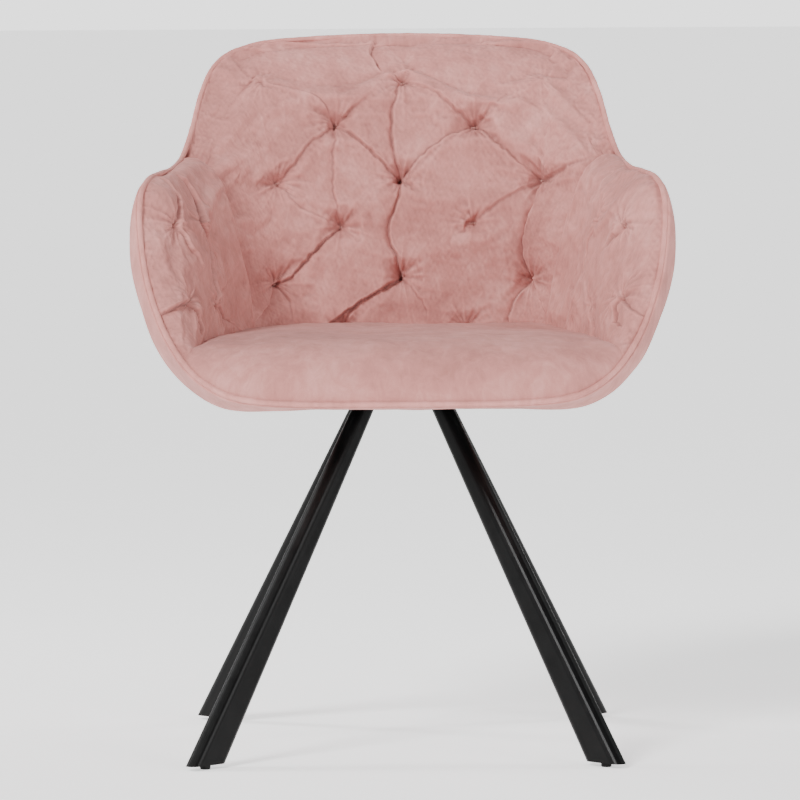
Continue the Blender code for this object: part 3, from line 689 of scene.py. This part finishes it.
def draped_shift(pad):
    """How the simulated cover lies off the pad's plain face, on a grid of SIM_SPACING."""
    s, w = pad_grid(pad, SIM_SPACING)
    face = pad_surface(s, w)
    plane = face[..., pad.axes]
    height = pad.base_height(face)
    for across, up, strength in pad.tufts:
        height = height + tuft_pit(plane, (across, up), TUFT_DEPTH * pad.fullness * strength)
    held_lines = []
    for number, (line, depth) in enumerate(pad.folds):
        height = height + valley(plane, line, VALLEY_SIZE * pad.fullness * depth, pad.seed + number)
        held_lines.append((line, min(0.5, depth * 70)))
    start = face - normals_of(pad_surface, s, w) * height[..., None]
    start = start + 0.0003 * ripple(face, 0.02, pad.seed)[..., None] * np.array([0, -1, 0])
    pins = pin_weights(plane, pad.tufts, held_lines)
    return drape(start, pins, slack_weights(face, plane, pad.tufts), pad.fullness) - face


def stitched_detail(pad, face, plane):
    """The height of what is too sharp to simulate: wrinkles, tucked folds and gathered seams."""
    detail = np.zeros(face.shape[:-1])
    for number, (across, up, strength) in enumerate(pad.tufts):
        detail += tuft_rays(plane, (across, up), RAY_HEIGHT * strength, pad.seed + 60 + number)
    for number, (line, rise, depth, side, start, end) in enumerate(pad.pleats):
        detail += pleat(plane, line, rise, depth, side, start, end, pad.seed + 90 + number)
    left, right, bottom, top = border_distances(face)
    gathers = ripple(face, 0.011, pad.seed + 7) * np.exp(-top / 0.015)
    gathers += ripple(face, 0.010, pad.seed + 8) * np.exp(-bottom / 0.02)
    detail += 0.0007 * gathers
    detail += 0.0005 * ripple(face, 0.026, pad.seed + 9) + 0.00022 * ripple(face, 0.0085, pad.seed + 10)
    edge = np.minimum(np.minimum(left, right), np.minimum(top, bottom))
    return detail * smooth_step(0.0, 0.006, edge)


def make_pad(pad):
    """A tufted pad: the simulated cover on a finer grid, with the sharp detail, closed by a hidden back."""
    s, w = pad_grid(pad, FINE_SPACING)
    face = pad_surface(s, w)
    plane = face[..., pad.axes]
    front = face + refine(draped_shift(pad), *s.shape)
    front = front - normals_of(pad_surface, s, w) * stitched_detail(pad, face, plane)[..., None]
    mesh = closed_grid_pair(pad.name, front, pad_back(s, w), loop=False)
    piece = new_object(pad.name, mesh, VELVET, "seat")
    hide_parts(*pad.replaced)
    make_bar_tacks(f"{pad.name}_bar_tacks", front, plane, pad.tufts)


def make_bar_tacks(name, front, plane, tufts):
    """The short sewn bars that hold the tufts down, each a row of thread turns lying across."""
    points, faces = [], []
    for across, up, strength in tufts:
        distance = np.linalg.norm(plane - (across, up), axis=-1)
        row, column = np.unravel_index(distance.argmin(), distance.shape)
        if strength < 0.6 or not 3 <= row < plane.shape[0] - 3:
            continue
        middle = front[row, column]
        along = unit(front[row, column + 2] - front[row, column - 2])
        upward = unit(front[row + 2, column] - front[row - 2, column])
        outward = unit(np.cross(along, upward))
        outward = outward * (1.0 if outward[1] < 0 else -1.0)
        for turn in range(BAR_TURNS):
            place = (turn / (BAR_TURNS - 1) - 0.5) * BAR_LENGTH
            lean = 0.0003 * (-1) ** turn
            centre = middle + along * (place + lean) + outward * 0.0012
            ring, ring_faces = thread_turn(centre, along, upward, outward)
            faces.append(ring_faces + len(points) * len(ring))
            points.append(ring)
    mesh = mesh_of(name, np.concatenate(points), np.concatenate(faces))
    new_object(name, mesh, THREAD, "seat")


def thread_turn(centre, along, upward, outward, bends=9, sides=6):
    """One turn of thread: a tube that arches over the bar from its lower to its upper edge."""
    angles = np.linspace(0, math.pi, bends)
    path = centre - upward * (BAR_HALF_HEIGHT * np.cos(angles))[:, None]
    path = path + outward * (0.0009 * np.sin(angles))[:, None]
    radial = -upward * np.cos(angles)[:, None] + outward * np.sin(angles)[:, None]
    around = np.linspace(0, 2 * math.pi, sides, endpoint=False)
    ring = radial[:, None] * np.cos(around)[None, :, None] + along * np.sin(around)[None, :, None]
    tube = path[:, None] + THREAD_R * ring
    return tube.reshape(-1, 3), grid_faces(bends, sides, closed=True)


def pad_back(s, w):
    """The hidden back of a pad, against the shell."""
    return wall(s, 0.30 + 0.67 * np.clip((w + 0.06) / 1.06, 0, 1), PAD_DEPTH)


# The back's tufts as (x, z, strength), in rows from the top down.
BACK_TUFTS = (
    (-0.167, 0.770, 0.45),
    (0.004, 0.772, 1.0),
    (0.172, 0.772, 0.4),
    (-0.076, 0.723, 1.0),
    (0.088, 0.721, 1.0),
    (-0.147, 0.650, 0.9),
    (0.002, 0.656, 1.0),
    (0.165, 0.654, 1.0),
    (-0.071, 0.600, 1.0),
    (0.086, 0.602, 0.8),
    (-0.147, 0.532, 1.0),
    (0.001, 0.539, 1.0),
    (0.154, 0.535, 1.0),
    (-0.070, 0.478, 0.8),
    (0.077, 0.478, 0.8),
)


def between(a, b, *middle):
    """The line from tuft a to tuft b of the back, by way of the middle points."""
    return (BACK_TUFTS[a][:2], *middle, BACK_TUFTS[b][:2])


# Valleys of the back: line and depth.
BACK_FOLDS = (
    (between(1, 3), 0.002),
    (between(1, 4), 0.004),
    (between(0, 3), 0.004),
    (between(2, 4), 0.002),
    (between(3, 5), 0.004),
    (between(3, 6), 0.005),
    (between(4, 6), 0.005),
    (between(4, 7), 0.005),
    (between(5, 8), 0.003),
    (between(6, 8), 0.002),
    (between(6, 9), 0.002),
    (between(7, 9), 0.003),
    (between(8, 10), 0.006),
    (between(8, 11), 0.003),
    (between(9, 11), 0.003),
    (between(9, 12), 0.002),
    (between(10, 13), 0.003),
    (between(11, 13), 0.005),
    (between(11, 14), 0.003),
    (between(12, 14), 0.003),
    ((BACK_TUFTS[1][:2], (0.004, 0.786), (0.005, 0.800)), 0.003),
    ((BACK_TUFTS[7][:2], (0.205, 0.668), (0.235, 0.682)), 0.003),
)
# Tucked folds of the back: line, rise, depth, the proud side, strength at start and end.
BACK_PLEATS = (
    (((-0.028, 0.828), (-0.034, 0.810), (-0.024, 0.792), (0.003, 0.772)), 0.0022, 0.0050, -1, 0.6, 1.0),
    (between(1, 6, (-0.007, 0.741), (-0.009, 0.703), (-0.004, 0.677)), 0.0022, 0.0050, 1, 0.9, 1.0),
    (between(6, 11, (-0.004, 0.622), (-0.015, 0.594), (-0.004, 0.560)), 0.0024, 0.0060, 1, 1.0, 1.0),
    (between(7, 12, (0.163, 0.625), (0.152, 0.601), (0.148, 0.571)), 0.0024, 0.0060, 1, 0.9, 1.0),
    (((0.154, 0.535), (0.134, 0.503), (0.127, 0.474)), 0.0022, 0.0055, 1, 1.0, 0.8),
    (between(3, 8, (-0.077, 0.702), (-0.080, 0.650)), 0.0014, 0.0030, 1, 1.0, 0.5),
    (between(3, 6, (-0.045, 0.697), (-0.018, 0.672)), 0.0016, 0.0026, 1, 1.0, 1.0),
    (between(3, 5, (-0.115, 0.690)), 0.0012, 0.0026, -1, 1.0, 0.7),
    (between(3, 0, (-0.105, 0.752)), 0.0014, 0.0022, 1, 1.0, 0.3),
    (between(4, 1, (0.040, 0.757)), 0.0014, 0.0024, -1, 1.0, 0.6),
    (between(4, 6, (0.040, 0.692)), 0.0014, 0.0030, 1, 1.0, 1.0),
    (between(4, 7, (0.130, 0.682)), 0.0014, 0.0030, -1, 0.8, 1.0),
    (((0.088, 0.721), (0.110, 0.740), (0.128, 0.756)), 0.0012, 0.0018, 1, 1.0, 0.2),
    (((-0.076, 0.723), (-0.055, 0.740), (-0.034, 0.757)), 0.0012, 0.0018, 1, 1.0, 0.2),
    (between(8, 10, (-0.103, 0.570), (-0.128, 0.543)), 0.0018, 0.0045, -1, 0.7, 1.0),
    (((0.001, 0.539), (-0.045, 0.511), (-0.075, 0.490), (-0.098, 0.474)), 0.0022, 0.0050, -1, 1.0, 0.9),
    (((0.001, 0.539), (0.024, 0.512), (0.030, 0.495)), 0.0012, 0.0024, 1, 1.0, 0.3),
    (((-0.147, 0.532), (-0.169, 0.503), (-0.186, 0.478)), 0.0020, 0.0045, -1, 1.0, 0.9),
    (((-0.147, 0.532), (-0.134, 0.512), (-0.131, 0.490)), 0.0012, 0.0024, 1, 1.0, 0.3),
    (((0.154, 0.535), (0.170, 0.510), (0.176, 0.490)), 0.0012, 0.0024, 1, 1.0, 0.4),
    (((0.165, 0.654), (0.200, 0.668), (0.232, 0.682)), 0.0012, 0.0020, 1, 1.0, 0.3),
    (between(7, 9, (0.125, 0.630)), 0.0010, 0.0018, -1, 1.0, 0.4),
    (between(5, 8, (-0.118, 0.618)), 0.0010, 0.0018, -1, 0.6, 0.8),
)


def back_base(points):
    """The height of the back pad without its stitching."""
    left, right, _, top = border_distances(points)
    side = np.minimum(left, right)
    height = 0.012 + 0.002 * ripple(points, 0.15, 3)
    rim_drop = 0.012 - 0.004 * smooth_step(0.790, 0.820, points[..., 2])
    return height - 0.014 * np.exp(-side / 0.016) - rim_drop * np.exp(-top / 0.024)


# The arms' tufts as (y, z, strength), their valleys and their tucked folds: 1 is the right arm, -1 the left.
ARM_TUFTS = {
    1: (
        (-0.008, 0.610, 1.0),
        (-0.097, 0.607, 0.9),
        (-0.149, 0.525, 0.9),
        (-0.064, 0.513, 0.7),
        (0.005, 0.506, 0.5),
    ),
    -1: (
        (-0.103, 0.609, 1.0),
        (-0.027, 0.607, 1.0),
        (-0.142, 0.523, 1.0),
        (-0.049, 0.516, 0.9),
    ),
}
ARM_FOLDS = {
    1: (
        (((-0.008, 0.610), (-0.064, 0.513)), 0.004),
        (((-0.097, 0.607), (-0.064, 0.513)), 0.003),
        (((-0.097, 0.607), (-0.149, 0.525)), 0.003),
        (((-0.008, 0.610), (0.005, 0.506)), 0.002),
    ),
    -1: (
        (((-0.103, 0.609), (-0.049, 0.516)), 0.003),
        (((-0.027, 0.607), (-0.049, 0.516)), 0.003),
        (((-0.103, 0.609), (-0.142, 0.523)), 0.003),
        (((-0.142, 0.523), (-0.049, 0.516)), 0.002),
    ),
}
ARM_PLEATS = {
    1: (
        (((0.039, 0.661), (0.033, 0.647), (0.004, 0.628), (-0.008, 0.610)), 0.003, 0.005, -1, 0.7, 1.0),
        (((-0.097, 0.607), (-0.088, 0.594), (-0.068, 0.580)), 0.003, 0.004, 1, 1.0, 0.2),
        (((-0.149, 0.525), (-0.163, 0.501), (-0.184, 0.492)), 0.002, 0.004, 1, 1.0, 0.5),
        (((-0.149, 0.525), (-0.190, 0.506), (-0.212, 0.491)), 0.0015, 0.003, 1, 1.0, 0.5),
        (((-0.008, 0.610), (-0.004, 0.575), (-0.002, 0.553)), 0.0015, 0.003, 1, 1.0, 0.3),
        (((-0.064, 0.513), (-0.080, 0.490), (-0.100, 0.475)), 0.0015, 0.003, 1, 1.0, 0.5),
    ),
    -1: (
        (((-0.072, 0.654), (-0.070, 0.638), (-0.086, 0.625), (-0.103, 0.609)), 0.003, 0.005, 1, 0.4, 1.0),
        (((0.001, 0.659), (0.016, 0.647), (0.013, 0.631), (-0.027, 0.607)), 0.003, 0.005, 1, 0.4, 1.0),
        (((-0.103, 0.609), (-0.094, 0.583), (-0.083, 0.562)), 0.0025, 0.003, 1, 1.0, 0.4),
        (((-0.027, 0.607), (-0.015, 0.582), (-0.031, 0.560), (-0.049, 0.516)), 0.0025, 0.003, 1, 1.0, 0.6),
        (((-0.027, 0.607), (0.010, 0.580), (0.014, 0.557)), 0.0015, 0.002, 1, 1.0, 0.3),
        (((-0.142, 0.523), (-0.188, 0.514), (-0.204, 0.502)), 0.003, 0.005, -1, 1.0, 0.6),
        (((-0.142, 0.523), (-0.134, 0.498), (-0.146, 0.487)), 0.002, 0.004, 1, 1.0, 0.6),
        (((-0.049, 0.516), (0.000, 0.500), (0.045, 0.482)), 0.001, 0.0015, 1, 1.0, 0.6),
        (((-0.049, 0.516), (0.000, 0.530), (0.045, 0.541)), 0.0015, 0.002, 1, 1.0, 0.2),
    ),
}


def arm_base(points, side):
    """The height of an arm pad without its stitching."""
    left, right, _, top = border_distances(points)
    front, rear = (left, right) if side > 0 else (right, left)
    height = (0.014 + 0.002 * ripple(points, 0.12, 21 + side)) * smooth_step(0.0, 0.03, front)
    turned = 1 - np.clip(rear / 0.008, 0, 1)
    return height - 0.006 * turned**2 - 0.014 * np.exp(-top / 0.020)


def make_pads():
    """The back pad and the two arm pads, which meet at ARM_END on either side."""
    back = Pad(
        name="back_pad",
        first=ARM_END,
        last=2 * HALF - ARM_END,
        axes=[0, 2],
        base_height=back_base,
        tufts=BACK_TUFTS,
        folds=BACK_FOLDS,
        pleats=BACK_PLEATS,
        replaced=("back_cover", "back_foam"),
        seed=100,
        fullness=1.0,
    )
    make_pad(back)
    right_arm = (ARM_START, ARM_END)
    left_arm = (2 * HALF - ARM_END, 2 * HALF - ARM_START)
    for name, side, (first, last) in (("right", 1, right_arm), ("left", -1, left_arm)):
        arm = Pad(
            name=f"arm_pad_{name}",
            first=first,
            last=last,
            axes=[1, 2],
            base_height=partial(arm_base, side=side),
            tufts=ARM_TUFTS[side],
            folds=ARM_FOLDS[side],
            pleats=ARM_PLEATS[side],
            replaced=(f"arm_{name}_cover", f"arm_{name}_foam"),
            seed=300 + 50 * side,
            fullness=0.55,
        )
        make_pad(arm)


def make_seat_cushion():
    """The crowned cushion: rings from its middle to its edge, then under to a smaller flat base."""
    places = even_places(0, 2 * HALF, 0.004, lambda s, v: section(s)[2])[:-1]
    place = HALF - np.abs(places - HALF)
    inward = smooth_step(3.7, 5.2, place)[:, None]
    at_rim = wall(places, np.ones_like(places), PAD_EDGE_DEPTH)
    edge = at_rim * (1 - inward) + section(places)[2] * inward
    outward = unit((edge - (0, SEAT_CENTRE_Y, 0)) * (1, 1, 0))
    edge = edge + outward * 0.012 * inward
    middle = np.array([0, SEAT_CENTRE_Y, 0])
    level = edge - middle
    level[:, 2] = 0
    shares = np.concatenate([np.linspace(0.02, 0.80, 50), 1 - 0.2 * np.linspace(1, 0, 36)[1:] ** 1.8])
    rows = []
    for share in shares:
        crown = (1 - share**SEAT_POWER) ** 0.5
        ring = middle + level * share
        ring[:, 2] = edge[:, 2] + (SEAT_CROWN_Z - edge[:, 2]) * crown
        rows.append(ring)
    top = np.array(rows)
    top[..., 2] += 0.0012 * ripple(top[..., :2], 0.16, 51) + 0.0004 * ripple(top, 0.03, 52)
    tucked = middle + level * 0.97
    tucked[:, 2] = edge[:, 2] - 0.004
    bottom = middle + level * 0.80
    bottom_z = BASE_Z + 0.024
    bottom[:, 2] = np.maximum(bottom_z, edge[:, 2] - 0.02)
    rings = np.concatenate([top, tucked[None], bottom[None]])
    count = len(places)
    crown_point = len(rings) * count
    bottom_point = crown_point + 1
    middles = [[0, SEAT_CENTRE_Y, SEAT_CROWN_Z], [0, SEAT_CENTRE_Y, bottom_z]]
    points = np.concatenate([rings.reshape(-1, 3), middles])
    faces = grid_faces(len(rings), count, 0, closed=True).tolist()
    last = (len(rings) - 1) * count
    faces += [(i, (i + 1) % count, crown_point) for i in range(count)]
    faces += [(last + (i + 1) % count, last + i, bottom_point) for i in range(count)]
    mesh = mesh_of("seat_cushion", points, faces)
    turn_outward(mesh)
    seat = new_object("seat_cushion", mesh, VELVET, "seat")
    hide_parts("seat_cover", "seat_foam")


def make_outer_cover():
    """The velvet sleeve over the bucket's outside, turned in under the base to a hem."""
    places = even_places(0, 2 * HALF, 0.006, wall_surface, 1.0)[:-1]
    heights = np.concatenate([[0.0], np.linspace(0.03, 0.9, 44), np.linspace(0.92, 1.0, 8)])
    s, v = np.meshgrid(places, heights)
    drift = -0.0006 * ripple(wall_surface(s, v), 0.09, 61) * np.minimum(1, (1 - v) * 6)
    outside = wall(s, v, drift + 0.0010 * smooth_step(0.985, 1.0, v) ** 2)
    inside = wall(s, v, COVER_THICKNESS + 0 * v)
    hem_out, hem_in = base_edge(places, 0.90), base_edge(places, 0.90, BASE_Z + COVER_THICKNESS)
    outside = np.concatenate([hem_out[None], outside])
    inside = np.concatenate([hem_in[None], inside])
    mesh = closed_grid_pair("outer_sleeve", outside, inside, loop=True)
    sleeve = new_object("outer_sleeve", mesh, VELVET, "seat")
    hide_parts("outer_cover")


def make_inner_shell():
    """The moulded bucket inside the sleeve, with a hole in the middle of its base."""
    places = even_places(0, 2 * HALF, 0.012, wall_surface, 1.0)[:-1]
    s, v = np.meshgrid(places, np.linspace(0.0, 0.965, 24))
    depth = COVER_THICKNESS + 0.0004
    outer = wall(s, v, depth + 0 * v)
    inner = wall(s, v, depth + SHELL_THICKNESS + 0 * v)
    hole = unit(base_edge(places) * (1, 1, 0)) * 0.02
    low = hole + (0, 0, BASE_Z + depth)
    high = low + (0, 0, SHELL_THICKNESS)
    outside, inside = np.concatenate([low[None], outer]), np.concatenate([high[None], inner])
    mesh = closed_grid_pair("moulded_shell", outside, inside, loop=True)
    shell = new_object("moulded_shell", mesh, SHELL_PLASTIC, "seat")
    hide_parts("bucket_shell")


def sweep_tube(centres, sideways, radius, sides=14):
    """Rings of points round a closed line. sideways is a vector across the line at each centre."""
    along = unit(np.roll(centres, -1, axis=0) - np.roll(centres, 1, axis=0))
    first = unit(sideways - along * (sideways * along).sum(-1, keepdims=True))
    second = np.cross(along, first)
    angles = np.linspace(0, 2 * math.pi, sides, endpoint=False)
    ring = first[:, None] * np.cos(angles)[None, :, None] + second[:, None] * np.sin(angles)[None, :, None]
    return centres[:, None] + ring * np.asarray(radius).reshape(-1, 1, 1)


def make_piping():
    """The welt cord in the seam round the rim."""
    places = even_places(0, 2 * HALF, 0.0022, wall_surface, 1.0)[:-1]
    one = np.ones_like(places)
    depth = COVER_THICKNESS + 0.0022
    edge = wall(places, one, depth + 0 * one)
    below = wall(places, one * 0.97, depth + 0 * one)
    centres = edge + unit(edge - below) * 0.0020
    radius = PIPING_R * (1 + 0.05 * ripple(centres, 0.012, 71))
    rings = sweep_tube(centres, normals_of(wall_surface, places, one), radius)
    count, sides = rings.shape[:2]
    i, k = np.meshgrid(np.arange(count), np.arange(sides), indexing="ij")
    a, b = i * sides + k, i * sides + (k + 1) % sides
    c, d = ((i + 1) % count) * sides + (k + 1) % sides, ((i + 1) % count) * sides + k
    faces = np.stack([a, b, c, d], -1).reshape(-1, 4)
    mesh = mesh_of("welt_piping", rings.reshape(-1, 3), faces)
    piping = new_object("welt_piping", mesh, PIPING_VELVET_PAINTED_LIGHTER, "seat")
    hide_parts("rim_piping")


# ------------------------------------------------------------------ studio
def make_camera():
    azimuth = math.radians(CAMERA_AZIMUTH)
    camera = bpy.data.objects.new("camera", bpy.data.cameras.new("camera"))
    bpy.context.scene.collection.objects.link(camera)
    camera.data.lens = CAMERA_LENS
    camera.data.sensor_width = 36.0
    camera.data.clip_end = 2 * FLOOR_HALF
    turn = Matrix.Rotation(azimuth, 4, "Z")
    look = Matrix.Rotation(math.radians(90 - CAMERA_PITCH), 4, "X")
    roll = Matrix.Rotation(math.radians(-CAMERA_ROLL), 4, "Z")
    place = Matrix.Translation((CAMERA_SIDE, -CAMERA_DISTANCE, CAMERA_HEIGHT))
    camera.matrix_world = turn @ place @ look @ roll
    bpy.context.scene.camera = camera


def add_light(kind, name, place, target, power, **settings):
    """A white light. power is watts for an area light, and W/m2 for a sun."""
    light = bpy.data.lights.new(name, kind)
    light.energy = power
    for key, value in settings.items():
        setattr(light, key, value)
    obj = bpy.data.objects.new(name, light)
    bpy.context.scene.collection.objects.link(obj)
    obj.location = place
    obj.rotation_euler = (Vector(target) - Vector(place)).to_track_quat("-Z", "Y").to_euler()


def make_floor():
    mesh = bpy.data.meshes.new("floor")
    bm = bmesh.new()
    bmesh.ops.create_grid(bm, x_segments=2, y_segments=2, size=FLOOR_HALF)
    bm.to_mesh(mesh)
    bm.free()
    floor = bpy.data.objects.new("floor", mesh)
    bpy.context.scene.collection.objects.link(floor)
    mesh.materials.append(floor_material())


def make_world():
    """Dim white above, and bright near the horizon, where it meets the floor in one pale grey."""
    world = bpy.data.worlds.new("studio")
    world.use_nodes = True
    tree = world.node_tree
    background = tree.nodes["Background"]
    direction = tree.nodes.new("ShaderNodeTexCoord").outputs["Generated"]
    split = tree.nodes.new("ShaderNodeSeparateXYZ")
    ramp = tree.nodes.new("ShaderNodeMapRange")
    tree.links.new(direction, split.inputs["Vector"])
    tree.links.new(split.outputs["Z"], ramp.inputs["Value"])
    ramp.inputs["From Min"].default_value = HORIZON_TOP
    ramp.inputs["From Max"].default_value = WORLD_START
    ramp.inputs["To Min"].default_value = HORIZON_STRENGTH
    ramp.inputs["To Max"].default_value = WORLD_STRENGTH
    tree.links.new(ramp.outputs["Result"], background.inputs["Strength"])
    background.inputs["Color"].default_value = (1.0, 1.0, 1.0, 1.0)
    bpy.context.scene.world = world


def make_studio():
    make_floor()
    make_world()
    middle = (0, 0, 0.5)
    add_light("SUN", "key", (-2.3, -3.6, 3.2), middle, 3.65, angle=math.radians(18))
    add_light("SUN", "fill", (3.2, -3.4, 1.6), middle, 1.45, angle=math.radians(25))
    add_light("SUN", "top", (0.3, 0.6, 4.0), middle, 0.2, angle=math.radians(60))
    soft_box = {"shape": "RECTANGLE", "size": 0.5, "size_y": 1.2}
    add_light("AREA", "soft_box_left", (-2.2, 0.7, 2.0), (0, 0, 0.3), 42, **soft_box)
    strip = {"shape": "RECTANGLE", "size": 0.14, "size_y": 1.2}
    add_light("AREA", "strip_right", (2.2, 0.5, 2.0), (0, 0, 0.3), 14, **strip)


def write_sizes():
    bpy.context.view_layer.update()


paint_cad_nodes()
make_camera()
make_studio()
make_outer_cover()
make_inner_shell()
make_pads()
make_seat_cushion()
make_piping()
write_sizes()
